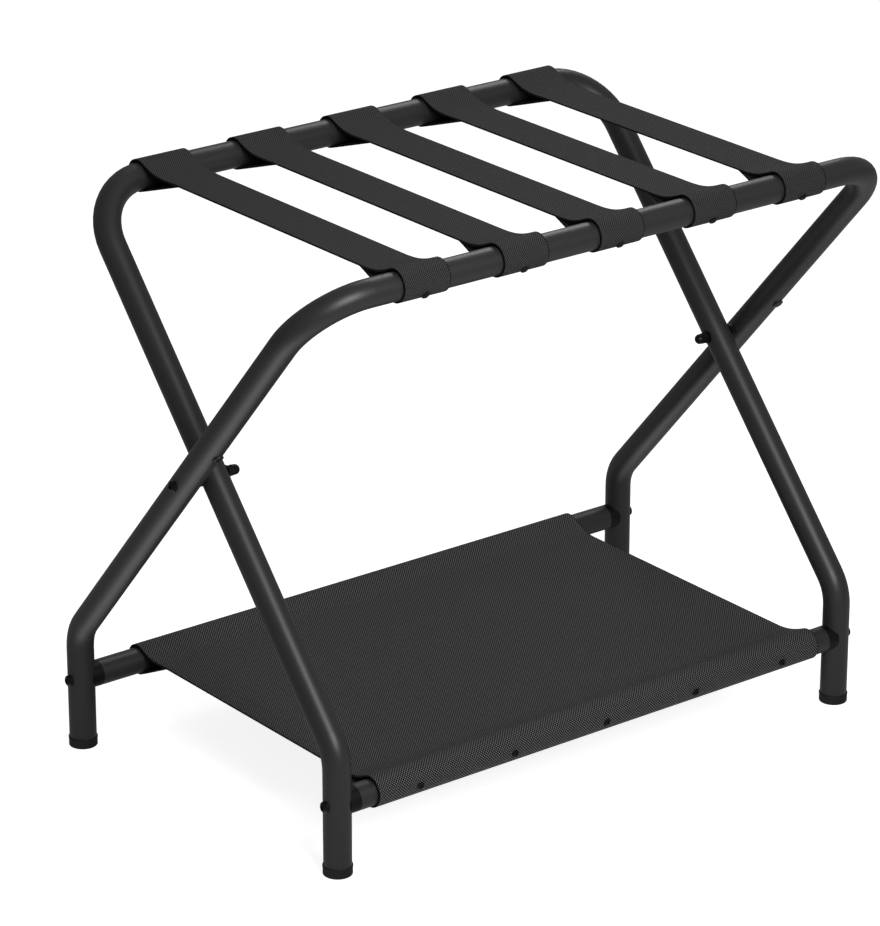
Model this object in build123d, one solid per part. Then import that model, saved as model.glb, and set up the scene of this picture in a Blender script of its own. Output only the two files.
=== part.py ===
from build123d import *
import math
import os

# Folding luggage rack: two crossed frames of bent steel tube, five webbing straps across the
# top rails and a cloth shelf between the two lower bars.
# Millimetres. +X along the rails, +Y to the rear, +Z up. The origin is on the floor, in the middle.

# --- frames: the outer frame's rail is in front and its feet are behind, the inner one's reversed
tube_diameter = 26.0
tube_wall = 1.2
outer_leg_span = 659.8          # between the centres of the outer frame's legs
leg_gap = 4.95                  # clear space between an outer and an inner leg
rail_height = 545.0             # centre of each top rail
rail_reach = 192.5              # each top rail's centre, forward or back of the middle
foot_reach = 181.6              # each foot's centre, forward or back of the middle
knee_height = 117.3             # where a sloping leg and its upright foot would meet
corner_bend_radius = 60.0       # centreline, rail to leg
knee_bend_radius = 44.0         # centreline, leg to foot

# --- rubber foot caps
cap_wall = 0.6
cap_sole = 3.0
cap_height = 9.0
cap_lip = 0.25                  # how far the bead at the cap's mouth stands out
cap_lip_height = 1.5
cap_edge_radius = 1.0

# --- lower bars and their ends
bar_diameter = 25.0
bar_wall = 1.2
bar_height = 69.2
plug_flange = 5.5               # plastic between the end of a bar and the leg
plug_saddle = 6.5               # how far the flange reaches round the leg
plug_insert = 20.0              # plastic inside the bar

# --- fasteners: M6 pivots and bar bolts, small tapping screws for the cloth
bolt_diameter = 6.0
bolt_head_diameter = 11.0
bolt_head_height = 4.2
bolt_head_rim = 1.8             # upright part of the head, below its dome
bolt_socket = 4.0               # across flats of the hexagon socket
bolt_socket_depth = 1.9
bar_bolt_grip = 15.0            # thread inside a bar's plug
pivot_spacer_diameter = 14.0
nut_across_flats = 10.0
nut_hex_height = 5.4
nut_corner_chamfer = 0.5
nut_dome_diameter = 9.8
nut_height = 13.2
nut_thread_depth = 9.0
nut_washer_diameter = 12.5
nut_washer_thickness = 1.2
screw_diameter = 4.0
screw_length = 9.0
screw_head_diameter = 7.6
screw_head_height = 2.2
screw_head_rim = 0.8
screw_slot_length = 4.2         # cross recess for a driver
screw_slot_width = 0.9
screw_slot_depth = 1.3
strap_screw_angle = 47.5        # from straight down, turned outwards
shelf_screw_angle = 82.0

# --- plastic buttons that close a hole on the underside of each outer leg
button_head_diameter = 11.0
button_head_height = 2.6
button_head_rim = 1.0
button_stem_diameter = 8.0
button_stem_length = 6.0
button_up_leg = 63.5            # from the pivot, along the leg

# --- webbing straps
strap_count = 5
strap_width = 48.0
front_strap_loop_width = 49.5   # where it wraps the front rail
rear_strap_loop_width = 54.0
strap_thickness = 1.5
strap_rise = 5.4                # middle of the flat strap, above the rails' centres
front_strap_join = 50.0         # from a rail's centre to where a loop closes
rear_strap_join = 62.0

# --- shelf cloth
shelf_width = 524.0
front_shelf_loop_width = 526.0
rear_shelf_loop_width = 532.0
shelf_thickness = 1.5
shelf_rise = 5.2
shelf_join = 43.0               # from a bar's centre to where a loop closes

# --- fits
fixed_clearance = 0.05          # radial, between pieces that don't move on each other
running_clearance = 0.05        # radial, pivot bolt in the inner leg
cloth_clearance = 0.3           # between cloth and the tube it wraps, at the bottom of a loop
loop_slack = 0.7                # a loop is this much wider in radius than it need be, and lifted by it
least_cloth_gap = 0.1           # what the outermost loops keep of it, at the start of a bend
cloth_fold_radius = 0.4         # inside a loop, where its two layers meet
screw_hole_clearance = 0.5      # radial, screw in its hole in the cloth
spacer_clearance = 0.15         # pivot spacer's flat face to the inner leg

# --- worked out from the above
tube_radius = tube_diameter / 2
bar_radius = bar_diameter / 2
bolt_radius = bolt_diameter / 2
outer_leg_x = outer_leg_span / 2
inner_leg_x = outer_leg_x - tube_diameter - leg_gap
pivot_height = knee_height + (rail_height - knee_height) * foot_reach / (foot_reach + rail_reach)
# The outermost loops run onto the start of the bends as far as the cloth's clearance lets them.
strap_overrun = math.sqrt(2 * corner_bend_radius * (cloth_clearance - least_cloth_gap))
outer_strap_edge = inner_leg_x - corner_bend_radius + strap_overrun
strap_pitch = (2 * outer_strap_edge - rear_strap_loop_width) / (strap_count - 1)
strap_places = [(i - (strap_count - 1) / 2) * strap_pitch for i in range(strap_count)]
cap_radius = tube_radius + fixed_clearance + cap_wall
strap_loop_radius = tube_radius + cloth_clearance + loop_slack + strap_thickness
strap_loop_height = rail_height + loop_slack
shelf_loop_radius = bar_radius + cloth_clearance + loop_slack + shelf_thickness
shelf_loop_height = bar_height + loop_slack

left = -1
right = 1
front = -1
rear = 1


def rod(start, direction, radius, length):
    """A round bar from a point, along a direction."""
    return extrude(Plane(origin=start, z_dir=direction) * Circle(radius), length)


def domed_head(start, direction, diameter, rim, height):
    """A round head with a low upright rim and a domed top, its flat face at start."""
    radius = diameter / 2
    ball_radius = (radius**2 + (height - rim) ** 2) / (2 * (height - rim))
    ball = Pos(0, 0, height - ball_radius) * Sphere(ball_radius)
    return Plane(origin=start, z_dir=direction) * (extrude(Circle(radius), height) & ball)


def frame_path(leg_x, rail_side):
    """Centreline of one bent frame, from its left foot over the rail to its right foot."""
    foot_y = -rail_side * foot_reach
    rail_y = rail_side * rail_reach
    foot_z = cap_sole + fixed_clearance
    corners = [
        (-leg_x, foot_y, foot_z),
        (-leg_x, foot_y, knee_height),
        (-leg_x, rail_y, rail_height),
        (leg_x, rail_y, rail_height),
        (leg_x, foot_y, knee_height),
        (leg_x, foot_y, foot_z),
    ]
    radii = [knee_bend_radius, corner_bend_radius, corner_bend_radius, knee_bend_radius]
    return FilletPolyline(*corners, radius=radii)


def swept_tube(path, radius):
    return sweep(Plane(origin=path @ 0, z_dir=path % 0) * Circle(radius), path=path)


def across_leg(leg_x, side, y, z, radius):
    """A hole cutter along X through one leg."""
    start = (side * (leg_x - tube_diameter), y, z)
    return rod(start, (side, 0, 0), radius, 2 * tube_diameter)


def outward(side, angle):
    """Direction turned from straight down towards the front or the rear."""
    turn = math.radians(angle)
    return Vector(0, side * math.sin(turn), -math.cos(turn))


def leg_direction():
    """Up the outer frame's sloping legs, from the rear foot to the front rail."""
    return Vector(0, -(rail_reach + foot_reach), rail_height - knee_height).normalized()


def leg_underside():
    """Square to the outer legs, towards the front and the floor."""
    along = leg_direction()
    return Vector(0, -along.Z, along.Y)


def button_place(side):
    """On an outer leg's underside, above the pivot."""
    centre = Vector(side * outer_leg_x, 0, pivot_height) + leg_direction() * button_up_leg
    return centre + leg_underside() * tube_radius


def frame_tube(leg_x, rail_side, pivot_hole_radius):
    path = frame_path(leg_x, rail_side)
    tube = swept_tube(path, tube_radius) - swept_tube(path, tube_radius - tube_wall)
    for side in (left, right):
        foot_y = -rail_side * foot_reach
        tube -= across_leg(leg_x, side, 0, pivot_height, pivot_hole_radius)
        tube -= across_leg(leg_x, side, foot_y, bar_height, bolt_radius + fixed_clearance)
    for x in strap_places:
        start = (x, rail_side * rail_reach, strap_loop_height)
        direction = outward(rail_side, strap_screw_angle)
        tube -= rod(start, direction, screw_diameter / 2 + fixed_clearance, tube_diameter)
    return tube


def outer_frame_tube():
    tube = frame_tube(outer_leg_x, front, bolt_radius + fixed_clearance)
    for side in (left, right):
        start = button_place(side) - leg_underside() * tube_radius
        hole_radius = button_stem_diameter / 2 + fixed_clearance
        tube -= rod(start, leg_underside(), hole_radius, tube_diameter)
    return tube


def inner_frame_tube():
    return frame_tube(inner_leg_x, rear, bolt_radius + running_clearance)


def foot_cap(x, y):
    body = Pos(x, y, 0) * extrude(Circle(cap_radius), cap_height)
    bead_bottom = cap_height - cap_lip_height
    bead = Pos(x, y, bead_bottom) * extrude(Circle(cap_radius + cap_lip), cap_lip_height)
    bead = chamfer(bead.edges().filter_by(GeomType.CIRCLE), cap_lip / 2)
    body = fillet(body.edges().group_by(Axis.Z)[0], cap_edge_radius)
    socket = Pos(x, y, cap_sole) * extrude(Circle(tube_radius + fixed_clearance), cap_height)
    return body + bead - socket


def lower_bar(leg_x, y):
    """Round bar between two legs, with holes for the shelf's screws."""
    half = leg_x - tube_radius - plug_flange
    side_of_bar = front if y < 0 else rear
    bar = rod((-half, y, bar_height), (1, 0, 0), bar_radius, 2 * half)
    bar -= rod((-half, y, bar_height), (1, 0, 0), bar_radius - bar_wall, 2 * half)
    for x in strap_places:
        direction = outward(side_of_bar, shelf_screw_angle)
        hole_radius = screw_diameter / 2 + fixed_clearance
        bar -= rod((x, y, shelf_loop_height), direction, hole_radius, bar_diameter)
    return bar


def bar_plug(leg_x, side, y):
    """Plastic plug in a bar's end, with a flange that is hollowed to sit on the leg."""
    bar_end = leg_x - tube_radius - plug_flange
    flange_start = (side * (bar_end + fixed_clearance), y, bar_height)
    plug = rod(flange_start, (side, 0, 0), bar_radius, plug_flange + plug_saddle)
    insert_radius = bar_radius - bar_wall - fixed_clearance
    insert_start = (side * (bar_end - plug_insert), y, bar_height)
    plug += rod(insert_start, (side, 0, 0), insert_radius, plug_insert + plug_flange)
    leg = rod((side * leg_x, y, 0), (0, 0, 1), tube_radius + fixed_clearance, 2 * bar_height)
    bolt_hole = rod(insert_start, (side, 0, 0), bolt_radius + fixed_clearance, leg_x)
    return plug - leg - bolt_hole


def bolt_head(start, direction):
    """Button head with a hexagon socket."""
    head = domed_head(start, direction, bolt_head_diameter, bolt_head_rim, bolt_head_height)
    socket_start = Vector(*start) + Vector(*direction) * (bolt_head_height - bolt_socket_depth)
    socket_radius = bolt_socket / math.sqrt(3)
    socket = Plane(origin=socket_start, z_dir=direction) * RegularPolygon(socket_radius, 6)
    return head - extrude(socket, bolt_head_height)


def bar_bolt(leg_x, side, y):
    """Bolt through a foot into the plug of a lower bar, its head on the outside."""
    start = (side * (leg_x + tube_radius + fixed_clearance), y, bar_height)
    reach = tube_diameter + plug_flange + bar_bolt_grip
    return bolt_head(start, (side, 0, 0)) + rod(start, (-side, 0, 0), bolt_radius, reach)


def nut_face():
    """Where the cap nut's washer sits, on the inner side of an inner leg."""
    return inner_leg_x - tube_radius - running_clearance


def pivot_bolt(side):
    """Bolt through an outer leg, the spacer and an inner leg, into the cap nut."""
    face_x = outer_leg_x + tube_radius + fixed_clearance
    reach = face_x - nut_face() + nut_washer_thickness + nut_thread_depth - 2 * fixed_clearance
    start = (side * face_x, 0, pivot_height)
    return bolt_head(start, (side, 0, 0)) + rod(start, (-side, 0, 0), bolt_radius, reach)


def pivot_spacer(side):
    """Spacer between the legs: hollowed to sit on the outer leg, flat to the inner one."""
    flat_x = inner_leg_x + tube_radius + spacer_clearance
    start = (side * flat_x, 0, pivot_height)
    spacer = rod(start, (side, 0, 0), pivot_spacer_diameter / 2, leg_gap + tube_radius)
    leg_start = Vector(side * outer_leg_x, 0, pivot_height) - leg_direction() * tube_diameter
    leg = rod(leg_start, leg_direction(), tube_radius + fixed_clearance, 2 * tube_diameter)
    bolt_hole = rod(start, (side, 0, 0), bolt_radius + fixed_clearance, outer_leg_x)
    return spacer - leg - bolt_hole


def pivot_washer(side):
    start = (side * nut_face(), 0, pivot_height)
    washer = rod(start, (-side, 0, 0), nut_washer_diameter / 2, nut_washer_thickness)
    return washer - rod(start, (-side, 0, 0), bolt_radius + fixed_clearance, nut_washer_diameter)


def pivot_nut(side):
    """Cap nut: a hexagon with chamfered corners and a closed dome."""
    seat = Plane(
        origin=(side * (nut_face() - nut_washer_thickness - fixed_clearance), 0, pivot_height),
        z_dir=(-side, 0, 0),
    )
    corner_radius = nut_across_flats / math.sqrt(3)
    dome_radius = nut_dome_diameter / 2
    shank = nut_hex_height - nut_corner_chamfer
    corners = extrude(Circle(corner_radius), shank)
    cone = Cone(corner_radius, dome_radius, nut_corner_chamfer)
    corners += Pos(0, 0, shank + nut_corner_chamfer / 2) * cone
    dome = extrude(Circle(dome_radius), nut_height - dome_radius)
    dome += Pos(0, 0, nut_height - dome_radius) * Sphere(dome_radius)
    thread = extrude(Circle(bolt_radius + fixed_clearance), nut_thread_depth)
    return seat * ((extrude(RegularPolygon(corner_radius, 6), nut_hex_height) & corners) + dome - thread)


def leg_button(side):
    """Snap-in plastic button with a low domed head."""
    place = button_place(side)
    seat = place + leg_underside() * fixed_clearance
    head_height = button_head_height - fixed_clearance
    head = domed_head(seat, leg_underside(), button_head_diameter, button_head_rim, head_height)
    return head + rod(seat, -leg_underside(), button_stem_diameter / 2, button_stem_length)


def screw(place, direction, loop_radius):
    """Pan-head tapping screw with a cross recess, its head just clear of the cloth's outer face."""
    seat = Vector(*place) + direction * (loop_radius + cloth_clearance)
    head = domed_head(seat, direction, screw_head_diameter, screw_head_rim, screw_head_height)
    recess = Plane(origin=seat + direction * (screw_head_height - screw_slot_depth), z_dir=direction)
    for turn in (0, 90):
        slot = Rot(0, 0, turn) * Rectangle(screw_slot_length, screw_slot_width)
        head -= extrude(recess * slot, screw_head_height)
    return head + rod(seat, -direction, screw_diameter / 2, screw_length)


def strap_screws(rail_side):
    direction = outward(rail_side, strap_screw_angle)
    rail_y = rail_side * rail_reach
    places = [(x, rail_y, strap_loop_height) for x in strap_places]
    return [screw(place, direction, strap_loop_radius) for place in places]


def shelf_screws(bar_side):
    direction = outward(bar_side, shelf_screw_angle)
    bar_y = bar_side * foot_reach
    places = [(x, bar_y, shelf_loop_height) for x in strap_places]
    return [screw(place, direction, shelf_loop_radius) for place in places]


def wrapped_cloth(reach, height, wrapped_radius, thickness, rise, joins, flat_width, loop_widths):
    """Cloth stretched front to rear that closes in a drop-shaped loop round a tube at each end."""
    flat_z = height + rise
    inner_radius = wrapped_radius + cloth_clearance + loop_slack
    front_end = front * (reach - joins[0])
    rear_end = rear * (reach - joins[1])
    outside = Pos((front_end + rear_end) / 2, flat_z) * Rectangle(rear_end - front_end, thickness)
    drops = []
    for side, tip in ((front, front_end), (rear, rear_end)):
        ring = Pos(side * reach, height + loop_slack) * Circle(inner_radius)
        point = Pos(tip, flat_z) * Circle(cloth_fold_radius)
        drop = make_hull((ring + point).edges())
        outside += offset(drop, thickness)
        drops.append(drop)
    profile = outside - drops[0] - drops[1]
    cloth = extrude(Plane.YZ * profile, max(loop_widths) / 2, both=True)

    half_flat = flat_width / 2
    half_front, half_rear = [width / 2 for width in loop_widths]
    flare_end = reach - inner_radius
    past_loop = reach + 2 * inner_radius
    rear_right = [(half_flat, rear_end), (half_rear, flare_end), (half_rear, past_loop)]
    front_right = [(half_front, -past_loop), (half_front, -flare_end), (half_flat, front_end)]
    right_edge = front_right + rear_right
    plan = make_face(Polyline(right_edge + [(-x, y) for x, y in reversed(right_edge)], close=True))
    below = Pos(0, 0, height - 2 * inner_radius)
    return cloth & (below * extrude(plan, flat_z))


def strap(place):
    cloth = wrapped_cloth(
        reach=rail_reach,
        height=rail_height,
        wrapped_radius=tube_radius,
        thickness=strap_thickness,
        rise=strap_rise,
        joins=(front_strap_join, rear_strap_join),
        flat_width=strap_width,
        loop_widths=(front_strap_loop_width, rear_strap_loop_width),
    )
    hole_radius = screw_diameter / 2 + screw_hole_clearance
    for side in (front, rear):
        start = (0, side * rail_reach, strap_loop_height)
        cloth -= rod(start, outward(side, strap_screw_angle), hole_radius, tube_diameter)
    return Pos(place, 0, 0) * cloth


def shelf():
    cloth = wrapped_cloth(
        reach=foot_reach,
        height=bar_height,
        wrapped_radius=bar_radius,
        thickness=shelf_thickness,
        rise=shelf_rise,
        joins=(shelf_join, shelf_join),
        flat_width=shelf_width,
        loop_widths=(front_shelf_loop_width, rear_shelf_loop_width),
    )
    hole_radius = screw_diameter / 2 + screw_hole_clearance
    for side in (front, rear):
        direction = outward(side, shelf_screw_angle)
        for x in strap_places:
            start = (x, side * foot_reach, shelf_loop_height)
            cloth -= rod(start, direction, hole_radius, bar_diameter)
    return cloth


def build_parts():
    parts = {
        "outer_frame_tube": outer_frame_tube(),
        "inner_frame_tube": inner_frame_tube(),
        "rear_lower_bar": lower_bar(outer_leg_x, rear * foot_reach),
        "front_lower_bar": lower_bar(inner_leg_x, front * foot_reach),
        "front_strap_screws": strap_screws(front),
        "rear_strap_screws": strap_screws(rear),
        "front_shelf_screws": shelf_screws(front),
        "rear_shelf_screws": shelf_screws(rear),
        "shelf_cloth": shelf(),
    }
    for number, place in enumerate(strap_places, start=1):
        parts[f"strap_{number}"] = strap(place)
    for word, side in (("left", left), ("right", right)):
        parts[f"rear_foot_cap_{word}"] = foot_cap(side * outer_leg_x, rear * foot_reach)
        parts[f"front_foot_cap_{word}"] = foot_cap(side * inner_leg_x, front * foot_reach)
        parts[f"rear_bar_plug_{word}"] = bar_plug(outer_leg_x, side, rear * foot_reach)
        parts[f"front_bar_plug_{word}"] = bar_plug(inner_leg_x, side, front * foot_reach)
        parts[f"rear_bar_bolt_{word}"] = bar_bolt(outer_leg_x, side, rear * foot_reach)
        parts[f"front_bar_bolt_{word}"] = bar_bolt(inner_leg_x, side, front * foot_reach)
        parts[f"pivot_bolt_{word}"] = pivot_bolt(side)
        parts[f"pivot_spacer_{word}"] = pivot_spacer(side)
        parts[f"pivot_washer_{word}"] = pivot_washer(side)
        parts[f"pivot_nut_{word}"] = pivot_nut(side)
        parts[f"leg_button_{word}"] = leg_button(side)
    return parts


os.makedirs("parts", exist_ok=True)
for node, shape in build_parts().items():
    solids = shape if isinstance(shape, list) else shape.solids()
    kept = Compound(children=solids) if len(solids) > 1 else solids[0]
    export_step(kept, f"parts/{node}.step")
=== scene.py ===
import math

import bmesh
import bpy
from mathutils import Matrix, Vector


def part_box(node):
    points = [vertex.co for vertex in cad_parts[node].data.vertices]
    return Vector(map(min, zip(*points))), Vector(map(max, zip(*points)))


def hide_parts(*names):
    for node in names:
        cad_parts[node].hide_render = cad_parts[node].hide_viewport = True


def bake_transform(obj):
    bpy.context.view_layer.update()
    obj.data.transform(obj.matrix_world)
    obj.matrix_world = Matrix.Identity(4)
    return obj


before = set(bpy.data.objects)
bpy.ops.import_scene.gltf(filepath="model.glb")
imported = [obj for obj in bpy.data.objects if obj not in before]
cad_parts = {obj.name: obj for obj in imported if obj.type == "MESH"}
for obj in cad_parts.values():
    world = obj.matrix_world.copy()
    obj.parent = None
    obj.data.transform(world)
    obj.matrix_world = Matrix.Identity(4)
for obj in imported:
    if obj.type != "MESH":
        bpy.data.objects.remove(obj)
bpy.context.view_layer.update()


# --- Bent frames and lower bars -----------------------------------------------------------------
# Two frames of 26 mm steel tube, each bent in one piece, and two straight bars between their feet.
# They are welded nowhere: bolts hold them. The steel is powder coated, sprayed on dry and baked.

FRAME_TUBES = ["outer_frame_tube", "inner_frame_tube", "rear_lower_bar", "front_lower_bar"]


def linear(hex_colour):
    """An sRGB hex colour as the linear RGBA that shaders take."""
    channels = [int(hex_colour[i : i + 2], 16) / 255 for i in (1, 3, 5)]
    return tuple(c / 12.92 if c <= 0.04045 else ((c + 0.055) / 1.055) ** 2.4 for c in channels) + (1,)


def new_material(name):
    """A material with a Principled shader, and its node tree and shader."""
    material = bpy.data.materials.new(name)
    material.use_nodes = True
    return material, material.node_tree, material.node_tree.nodes["Principled BSDF"]


def add(tree, kind, inputs, **settings):
    """Adds a node: inputs maps each socket to its value, or to the output that feeds it."""
    node = tree.nodes.new(kind)
    for name, value in settings.items():
        setattr(node, name, value)
    for socket, value in inputs.items():
        if isinstance(value, bpy.types.NodeSocket):
            tree.links.new(value, node.inputs[socket])
        else:
            node.inputs[socket].default_value = value
    return node


def finish_with(material, nodes):
    """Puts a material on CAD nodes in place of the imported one."""
    for name in nodes:
        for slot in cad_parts[name].material_slots:
            slot.material = material


# Polyester powder coat: satin, near black, with the faint orange peel of a coat that flowed as it
# was baked. The eye sees broad soft highlights along the tubes with a slightly uneven edge.
PEEL_WIDTH = 0.0016
GRAIN_WIDTH = 0.00035
GRAIN_SHARE = 0.3                     # height of the grain, as a share of the peel's
powder_coat, tree, shader = new_material("satin_black_powder_coat")
shader.inputs["Roughness"].default_value = 0.4
shader.inputs["Specular IOR Level"].default_value = 0.3
place = add(tree, "ShaderNodeTexCoord", {}).outputs["Object"]
peel = add(tree, "ShaderNodeTexNoise", {"Vector": place, "Scale": 1 / PEEL_WIDTH, "Detail": 1.0})
grain = add(tree, "ShaderNodeTexNoise", {"Vector": place, "Scale": 1 / GRAIN_WIDTH, "Detail": 1.0})
blacks = {0: grain.outputs["Fac"], 6: linear("#1d1d1e"), 7: linear("#292929")}
shade = add(tree, "ShaderNodeMix", blacks, data_type="RGBA")
tree.links.new(shade.outputs[2], shader.inputs["Base Color"])
grain_on_peel = {0: grain.outputs["Fac"], 1: GRAIN_SHARE, 2: peel.outputs["Fac"]}
height = add(tree, "ShaderNodeMath", grain_on_peel, operation="MULTIPLY_ADD")
bump = add(tree, "ShaderNodeBump", {"Height": height.outputs[0], "Strength": 0.25, "Distance": 0.0001})
tree.links.new(bump.outputs["Normal"], shader.inputs["Normal"])
finish_with(powder_coat, FRAME_TUBES)


# --- Foot caps ----------------------------------------------------------------------------------
# Soft rubber caps with a bead round the mouth, moulded and pushed onto the ends of the legs.

SIDES = ["left", "right"]
FOOT_CAPS = [f"{end}_foot_cap_{side}" for end in ("rear", "front") for side in SIDES]

# Moulded rubber: dull black, with the fine spark-eroded texture of its mould.
RUBBER_GRAIN = 0.0005
cap_rubber, tree, shader = new_material("moulded_black_rubber")
shader.inputs["Roughness"].default_value = 0.62
shader.inputs["Specular IOR Level"].default_value = 0.25
place = add(tree, "ShaderNodeTexCoord", {}).outputs["Object"]
grain = add(tree, "ShaderNodeTexNoise", {"Vector": place, "Scale": 1 / RUBBER_GRAIN, "Detail": 2.0})
blacks = {0: grain.outputs["Fac"], 6: linear("#050505"), 7: linear("#131313")}
shade = add(tree, "ShaderNodeMix", blacks, data_type="RGBA")
tree.links.new(shade.outputs[2], shader.inputs["Base Color"])
bump = add(tree, "ShaderNodeBump", {"Height": grain.outputs["Fac"], "Strength": 0.4, "Distance": 0.0001})
tree.links.new(bump.outputs["Normal"], shader.inputs["Normal"])
finish_with(cap_rubber, FOOT_CAPS)


# --- Plugs, spacers and hole buttons ------------------------------------------------------------
# Nylon pieces: a plug in each end of a lower bar, a spacer between each pair of crossing legs and
# a snap-in button that closes a hole on the underside of each outer leg.

MATT_NYLON = ["rear_bar_plug", "front_bar_plug", "pivot_spacer"]
MATT_NYLON_PIECES = [f"{piece}_{side}" for piece in MATT_NYLON for side in SIDES]
GLOSSY_NYLON_PIECES = [f"leg_button_{side}" for side in SIDES]

# Moulded nylon: black right through, with a faint sheen from a satin mould.
MOULD_GRAIN = 0.0004
satin_nylon, tree, shader = new_material("moulded_black_nylon")
shader.inputs["Roughness"].default_value = 0.5
shader.inputs["Specular IOR Level"].default_value = 0.15
place = add(tree, "ShaderNodeTexCoord", {}).outputs["Object"]
grain = add(tree, "ShaderNodeTexNoise", {"Vector": place, "Scale": 1 / MOULD_GRAIN, "Detail": 1.0})
blacks = {0: grain.outputs["Fac"], 6: linear("#030303"), 7: linear("#0a0a0b")}
shade = add(tree, "ShaderNodeMix", blacks, data_type="RGBA")
tree.links.new(shade.outputs[2], shader.inputs["Base Color"])
bump = add(tree, "ShaderNodeBump", {"Height": grain.outputs["Fac"], "Strength": 0.25, "Distance": 0.00005})
tree.links.new(bump.outputs["Normal"], shader.inputs["Normal"])
finish_with(satin_nylon, MATT_NYLON_PIECES)

# The buttons come from a polished mould, so they catch the light, with faint marks where it filled.
FLOW_WIDTH = 0.0033
polished_nylon, tree, shader = new_material("polished_black_nylon")
shader.inputs["Roughness"].default_value = 0.16
place = add(tree, "ShaderNodeTexCoord", {}).outputs["Object"]
flow = add(tree, "ShaderNodeTexNoise", {"Vector": place, "Scale": 1 / FLOW_WIDTH, "Detail": 1.0})
blacks = {0: flow.outputs["Fac"], 6: linear("#101010"), 7: linear("#1d1d1d")}
shade = add(tree, "ShaderNodeMix", blacks, data_type="RGBA")
tree.links.new(shade.outputs[2], shader.inputs["Base Color"])
finish_with(polished_nylon, GLOSSY_NYLON_PIECES)


# --- Bolts, nuts, washers and screws ------------------------------------------------------------
# Steel M6 bolts with hexagon sockets, cap nuts and washers, and the pan-head tapping screws that
# hold the cloth loops. All are plated black.

PAIRED_FASTENERS = ["rear_bar_bolt", "front_bar_bolt", "pivot_bolt", "pivot_washer", "pivot_nut"]
FASTENERS = [f"{piece}_{side}" for piece in PAIRED_FASTENERS for side in SIDES]
FASTENERS += ["front_strap_screws", "rear_strap_screws", "front_shelf_screws", "rear_shelf_screws"]

# Black zinc plate over steel: dark, half gloss, a little cloudy where the plate is thicker.
CLOUD_WIDTH = 0.003
black_plate, tree, shader = new_material("black_zinc_plate")
shader.inputs["Metallic"].default_value = 0.4
shader.inputs["Specular IOR Level"].default_value = 0.3
place = add(tree, "ShaderNodeTexCoord", {}).outputs["Object"]
cloud = add(tree, "ShaderNodeTexNoise", {"Vector": place, "Scale": 1 / CLOUD_WIDTH, "Detail": 3.0})
blacks = {0: cloud.outputs["Fac"], 6: linear("#040404"), 7: linear("#101011")}
shade = add(tree, "ShaderNodeMix", blacks, data_type="RGBA")
tree.links.new(shade.outputs[2], shader.inputs["Base Color"])
gloss = {"Value": cloud.outputs["Fac"], "To Min": 0.28, "To Max": 0.42}
rough = add(tree, "ShaderNodeMapRange", gloss)
tree.links.new(rough.outputs["Result"], shader.inputs["Roughness"])
finish_with(black_plate, FASTENERS)


# --- Webbing straps -----------------------------------------------------------------------------
# Five bands of flat polyester webbing. Each lies across the rack, wraps both rails and comes back
# to meet its own underside, so each end is a drop-shaped loop, which a screw pins to the rail.

STRAPS = [f"strap_{number}" for number in range(1, 6)]
WEBBING_THICKNESS = 0.0015
WEBBING_WIDTH = 0.048
STRAP_LOOP_WIDTHS = (0.0495, 0.054)   # front and rear: the band spreads where it is pulled round
STRAP_RISE = 0.0054                   # the band's middle above the rails' centres
STRAP_JOINS = (0.050, 0.062)          # from a rail's centre to where its loop closes
LOOP_GAP = 0.0003                     # between the band and the rail, under it
LOOP_SLACK = 0.0007                   # a loop is wider than it need be, and stands up off the rail
LOOP_CREST = math.radians(-24)        # where the band first meets the loop's curve, short of its top
CREST_PULL = 0.42                     # how gently the band rises to the crest, as a share of the way
CREST_STEPS = 20
ROUND_STEPS = 40
LOWER_STEPS = 14
FLAT_STEPS = 40
STRAP_COLUMNS = 14                    # the outermost one on each side is the sealed edge
SEALED_EDGE = 0.0007
TUBE_RADIUS = 0.013

outer_low, outer_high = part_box("outer_frame_tube")
inner_low, inner_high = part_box("inner_frame_tube")
front_rail = Vector((0, outer_low.y + TUBE_RADIUS, outer_high.z - TUBE_RADIUS))
rear_rail = Vector((0, inner_high.y - TUBE_RADIUS, inner_high.z - TUBE_RADIUS))


def loop_route(centre, loop_radius, flat_z, join):
    """Middle line of one end of a looped band in the YZ plane, from where it leaves the flat stretch,
    over and round the tube, and back to the underside of the flat stretch."""
    out = math.copysign(1, centre.y)
    reach = abs(centre.y)
    loop_z = centre.z + LOOP_SLACK
    start = Vector((reach - join, flat_z))
    loop_centre = Vector((reach, loop_z))
    crest = loop_centre + Vector((math.sin(LOOP_CREST), math.cos(LOOP_CREST))) * loop_radius
    pull = (crest - start).length * CREST_PULL
    arriving = Vector((math.cos(LOOP_CREST), -math.sin(LOOP_CREST)))
    bend = [start, start + Vector((pull, 0)), crest - arriving * pull, crest]
    route = []
    for step in range(CREST_STEPS):
        t = step / CREST_STEPS
        weights = [(1 - t) ** 3, 3 * t * (1 - t) ** 2, 3 * t**2 * (1 - t), t**3]
        route.append(sum((point * weight for point, weight in zip(bend, weights)), Vector((0, 0))))
    back = Vector((-join, flat_z - loop_z))
    leave = math.atan2(back.x, back.y) - math.acos(loop_radius / back.length) + 2 * math.pi
    for step in range(ROUND_STEPS + 1):
        angle = LOOP_CREST + (leave - LOOP_CREST) * step / ROUND_STEPS
        round_tube = Vector((math.sin(angle), math.cos(angle))) * loop_radius
        route.append(loop_centre + round_tube)
    lower = route[-1]
    route += [lower.lerp(start, step / LOWER_STEPS) for step in range(1, LOWER_STEPS + 1)]
    return [Vector((0, out * point.x, point.y)) for point in route]


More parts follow.
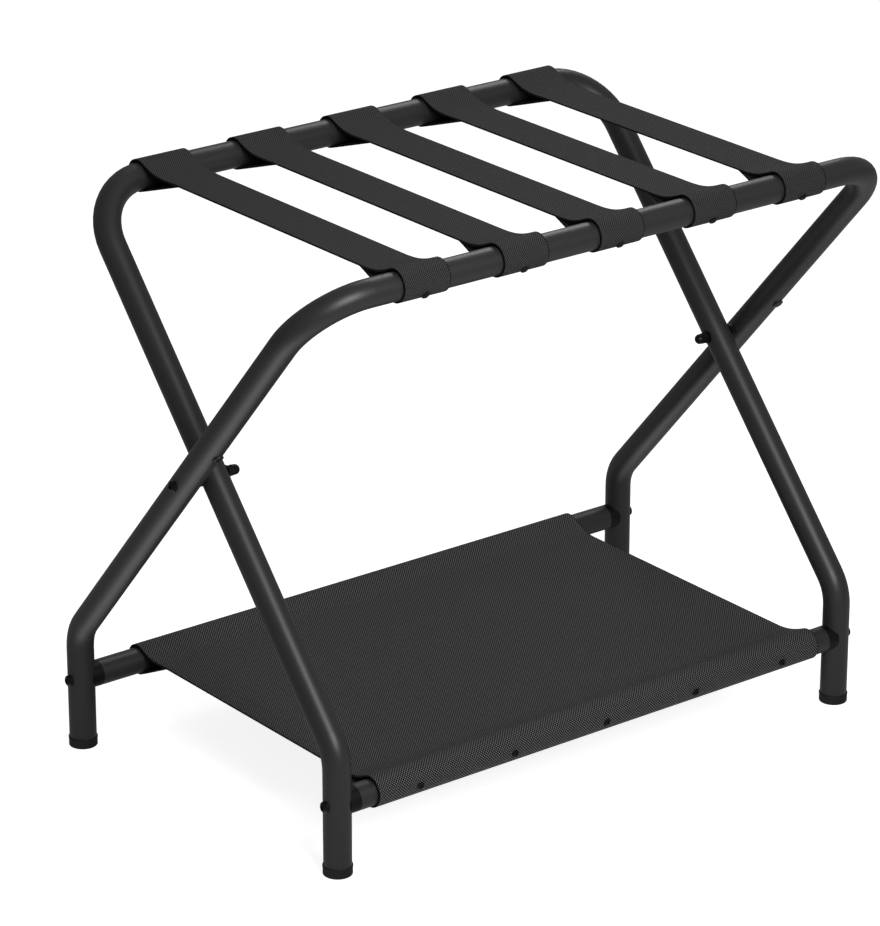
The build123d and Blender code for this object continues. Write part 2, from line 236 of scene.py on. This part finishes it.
def looped_band(name, middle_x, centres, joins, loop_radius, flat_z, widths, thickness, columns):
    """A flat band of cloth bent along its route, with its flat, unbent place as its UV map in metres.
    Its outermost columns are the sealed edges, its second material. It faces away from the tubes."""
    front, rear = (loop_route(c, loop_radius, flat_z, join) for c, join in zip(centres, joins))
    flat = [front[0].lerp(rear[0], step / FLAT_STEPS) for step in range(1, FLAT_STEPS)]
    route = front[::-1] + flat + rear
    along = [0.0]
    for before, after in zip(route, route[1:]):
        along.append(along[-1] + (after - before).length)
    flat_width, front_width, rear_width = widths
    band = bmesh.new()
    bmesh.ops.create_grid(band, x_segments=columns, y_segments=len(route) - 1, size=0.5)
    uv = band.loops.layers.uv.new("cloth")
    for face in band.faces:
        outermost = abs(face.calc_center_median().x) > 0.5 - 1 / columns
        face.material_index = 1 if outermost else 0
    for vertex in band.verts:
        column = round((vertex.co.x + 0.5) * columns)
        row = round((vertex.co.y + 0.5) * (len(route) - 1))
        point = route[row]
        end = 0 if point.y < 0 else 1
        loop_width = (front_width, rear_width)[end]
        spread = (abs(point.y) - abs(centres[end].y) + joins[end]) / (joins[end] - loop_radius)
        spread = min(max(spread, 0), 1)
        width = flat_width + (loop_width - flat_width) * spread * spread * (3 - 2 * spread)
        woven = width - 2 * SEALED_EDGE
        across = woven * ((column - 1) / (columns - 2) - 0.5)
        across = min(max(across, -width / 2), width / 2)
        for corner in vertex.link_loops:
            corner[uv].uv = (across, along[row])
        vertex.co = Vector((middle_x + across, point.y, point.z))
    mesh = bpy.data.meshes.new(name)
    band.to_mesh(mesh)
    band.free()
    mesh.polygons.foreach_set("use_smooth", [True] * len(mesh.polygons))
    piece = bpy.data.objects.new(name, mesh)
    bpy.context.collection.objects.link(piece)
    wall = piece.modifiers.new("thickness", "SOLIDIFY")
    wall.thickness = thickness
    wall.offset = 0
    wall.use_even_offset = True
    wall.material_offset_rim = 1
    return piece, along[-1]


def weave_material(name, thread, light, lit_from, relief):
    """Plain weave on the cloth's UV map: a painted highlight of colour light on the crown of each thread
    where it passes over, and the yarn's dark colour in the gap beside.
    """
    material, tree, shader = new_material(name)
    shader.inputs["Roughness"].default_value = 0.7
    shader.inputs["Specular IOR Level"].default_value = 0.2
    place = add(tree, "ShaderNodeUVMap", {}, uv_map="cloth").outputs["UV"]
    split = add(tree, "ShaderNodeSeparateXYZ", {"Vector": place})
    waves = []
    for axis in (0, 1):
        turn = {0: split.outputs[axis], 1: math.pi / thread}
        turn = add(tree, "ShaderNodeMath", turn, operation="MULTIPLY")
        waves.append(add(tree, "ShaderNodeMath", {0: turn.outputs[0]}, operation="SINE"))
    product = {0: waves[0].outputs[0], 1: waves[1].outputs[0]}
    crossing = add(tree, "ShaderNodeMath", product, operation="MULTIPLY")
    height = add(tree, "ShaderNodeMath", {0: crossing.outputs[0]}, operation="ABSOLUTE")
    # Painted highlight: where a thread's crown rises, the base colour runs from the yarn's black up to the
    # lit grey.
    span = {"Value": crossing.outputs[0], "From Min": lit_from, "From Max": 0.8}
    crown_highlight = add(tree, "ShaderNodeMapRange", span)
    blacks = {0: crown_highlight.outputs["Result"], 6: linear("#070707"), 7: linear(light)}
    shade = add(tree, "ShaderNodeMix", blacks, data_type="RGBA")
    tree.links.new(shade.outputs[2], shader.inputs["Base Color"])
    relief_of = {"Height": height.outputs[0], "Strength": relief, "Distance": 0.0005}
    bump = add(tree, "ShaderNodeBump", relief_of)
    tree.links.new(bump.outputs["Normal"], shader.inputs["Normal"])
    return material


# Polyester webbing: black yarn in a plain weave. Each thread is drawn about twice its real width of
# 0.6 mm, so that it shows. The eye sees rows of small lit dots, painted as highlights into the base
# colour on each thread's crown, that fade where the light is flat.
WEB_THREAD = 0.0012
webbing = weave_material("black_polyester_webbing", WEB_THREAD, "#4c4c4d", -0.05, 0.8)

# The edges were cut with heat, which melts the yarn into a hard black rim under a millimetre wide.
SEAL_GRAIN = 0.0008
sealed_edge, tree, shader = new_material("heat_sealed_black_edge")
shader.inputs["Roughness"].default_value = 0.6
shader.inputs["Specular IOR Level"].default_value = 0.1
place = add(tree, "ShaderNodeTexCoord", {}).outputs["Object"]
grain = add(tree, "ShaderNodeTexNoise", {"Vector": place, "Scale": 1 / SEAL_GRAIN, "Detail": 1.0})
blacks = {0: grain.outputs["Fac"], 6: linear("#020202"), 7: linear("#0a0a0a")}
shade = add(tree, "ShaderNodeMix", blacks, data_type="RGBA")
tree.links.new(shade.outputs[2], shader.inputs["Base Color"])

for node in STRAPS:
    low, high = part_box(node)
    strap, strap_length = looped_band(
        f"{node}_webbing",
        middle_x=(low.x + high.x) / 2,
        centres=(front_rail, rear_rail),
        joins=STRAP_JOINS,
        loop_radius=TUBE_RADIUS + LOOP_GAP + LOOP_SLACK + WEBBING_THICKNESS / 2,
        flat_z=front_rail.z + STRAP_RISE,
        widths=(WEBBING_WIDTH, *STRAP_LOOP_WIDTHS),
        thickness=WEBBING_THICKNESS,
        columns=STRAP_COLUMNS,
    )
    strap.data.materials.append(webbing)
    strap.data.materials.append(sealed_edge)
    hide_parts(node)
    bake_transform(strap)


# --- Shelf cloth --------------------------------------------------------------------------------
# One wide piece of coated polyester cloth, looped round both lower bars in the same way as the
# straps and pinned by a row of screws along each bar.

SHELF_THICKNESS = 0.0015
SHELF_WIDTHS = (0.524, 0.526, 0.532)  # flat, round the front bar, round the rear bar
SHELF_RISE = 0.0052
SHELF_JOIN = 0.043
SHELF_COLUMNS = 62
BAR_RADIUS = 0.0125

bars = []
for bar in ("front_lower_bar", "rear_lower_bar"):
    low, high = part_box(bar)
    bars.append(Vector((0, (low.y + high.y) / 2, (low.z + high.z) / 2)))

# Plain-woven polyester shelf cloth, its threads also drawn wider than they are, with the same painted
# highlights on their crowns, here a lighter grey.
SHELF_THREAD = 0.0014
shelf_weave = weave_material("black_woven_shelf_cloth", SHELF_THREAD, "#747475", 0.15, 0.9)

shelf, shelf_length = looped_band(
    "shelf_cloth_woven",
    middle_x=0,
    centres=bars,
    joins=(SHELF_JOIN, SHELF_JOIN),
    loop_radius=BAR_RADIUS + LOOP_GAP + LOOP_SLACK + SHELF_THICKNESS / 2,
    flat_z=bars[0].z + SHELF_RISE,
    widths=SHELF_WIDTHS,
    thickness=SHELF_THICKNESS,
    columns=SHELF_COLUMNS,
)
shelf.data.materials.append(shelf_weave)
shelf.data.materials.append(sealed_edge)
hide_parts("shelf_cloth")
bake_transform(shelf)


# --- Studio -------------------------------------------------------------------------------------
# A white light table: a floor that glows and lights the rack from below, one soft light in front,
# one behind, and a camera a little above the rack, off its front left corner, with a long lens.

FLOOR_SIZE = 60
FLOOR_GLOW = 0.85
RACK_MIDDLE = Vector((0, 0, 0.28))
floor_mesh = bmesh.new()
bmesh.ops.create_grid(floor_mesh, x_segments=1, y_segments=1, size=FLOOR_SIZE / 2)
floor_data = bpy.data.meshes.new("floor")
floor_mesh.to_mesh(floor_data)
floor_mesh.free()
floor = bpy.data.objects.new("floor", floor_data)
bpy.context.collection.objects.link(floor)
floor.visible_shadow = False
table_top, tree, shader = new_material("white_light_table")
shader.inputs["Base Color"].default_value = linear("#bcbcbc")
shader.inputs["Roughness"].default_value = 1.0
shader.inputs["Specular IOR Level"].default_value = 0.0
shader.inputs["Emission Color"].default_value = (1, 1, 1, 1)
seen = add(tree, "ShaderNodeLightPath", {}).outputs["Is Camera Ray"]
glow = add(tree, "ShaderNodeMath", {0: seen, 1: FLOOR_GLOW}, operation="MULTIPLY")
tree.links.new(glow.outputs[0], shader.inputs["Emission Strength"])
floor_data.materials.append(table_top)

world = bpy.data.worlds.new("studio")
bpy.context.scene.world = world
world.use_nodes = True
# The background is white to look at, but lights the rack only a little.
BACKGROUND_LIGHT = 0.28
background = world.node_tree.nodes["Background"]
background.inputs["Color"].default_value = (1, 1, 1, 1)
seen = add(world.node_tree, "ShaderNodeLightPath", {}).outputs["Is Camera Ray"]
strength = add(world.node_tree, "ShaderNodeMath", {0: seen, 1: BACKGROUND_LIGHT}, operation="MAXIMUM")
world.node_tree.links.new(strength.outputs[0], background.inputs["Strength"])

# The table's own light comes up from a little to the left, and the floor lets it through.
TOWARD_TABLE_LIGHT = Vector((-0.24, 0.04, -0.97))
from_below = bpy.data.lights.new("table_light", "SUN")
from_below.energy = 1.9
from_below.angle = math.radians(42)
table_light = bpy.data.objects.new("table_light", from_below)
table_light.rotation_euler = TOWARD_TABLE_LIGHT.to_track_quat("Z", "Y").to_euler()
bpy.context.collection.objects.link(table_light)

# Each softbox: its place, its side in metres and its power in watts. All face the rack's middle.
SOFTBOXES = {
    "front_softbox": ((-0.40, -1.50, 1.30), 0.9, 34.0),
    "back_softbox": ((0.95, 0.80, 1.50), 0.7, 6.5),
}
for name, (place, side, power) in SOFTBOXES.items():
    panel = bpy.data.lights.new(name, "AREA")
    panel.size = side
    panel.energy = power
    softbox = bpy.data.objects.new(name, panel)
    softbox.location = place
    toward_light = softbox.location - RACK_MIDDLE
    softbox.rotation_euler = toward_light.to_track_quat("Z", "Y").to_euler()
    bpy.context.collection.objects.link(softbox)

SENSOR_LONG_SIDE = 36.0
LENS_LENGTH = 168.93
CAMERA_AZIMUTH = -0.6603              # radians from straight in front, to the left
CAMERA_ELEVATION = 0.3805
CAMERA_DISTANCE = 4.0749
AIM_RIGHT = -0.033634                 # what the camera aims at, from the rack's middle
AIM_UP = -0.015533
camera_data = bpy.data.cameras.new("camera")
camera_data.sensor_width = SENSOR_LONG_SIDE
camera_data.lens = LENS_LENGTH
camera = bpy.data.objects.new("camera", camera_data)
bpy.context.collection.objects.link(camera)
across = Vector((math.sin(CAMERA_AZIMUTH), -math.cos(CAMERA_AZIMUTH), 0))
back = math.cos(CAMERA_ELEVATION) * across + math.sin(CAMERA_ELEVATION) * Vector((0, 0, 1))
right = Vector((math.cos(CAMERA_AZIMUTH), math.sin(CAMERA_AZIMUTH), 0))
up = back.cross(right)
aim = RACK_MIDDLE + right * AIM_RIGHT + up * AIM_UP
camera.location = aim + back * CAMERA_DISTANCE
camera.rotation_euler = (-back).to_track_quat("-Z", "Y").to_euler()
bpy.context.scene.camera = camera
bpy.context.scene.view_settings.view_transform = "Standard"
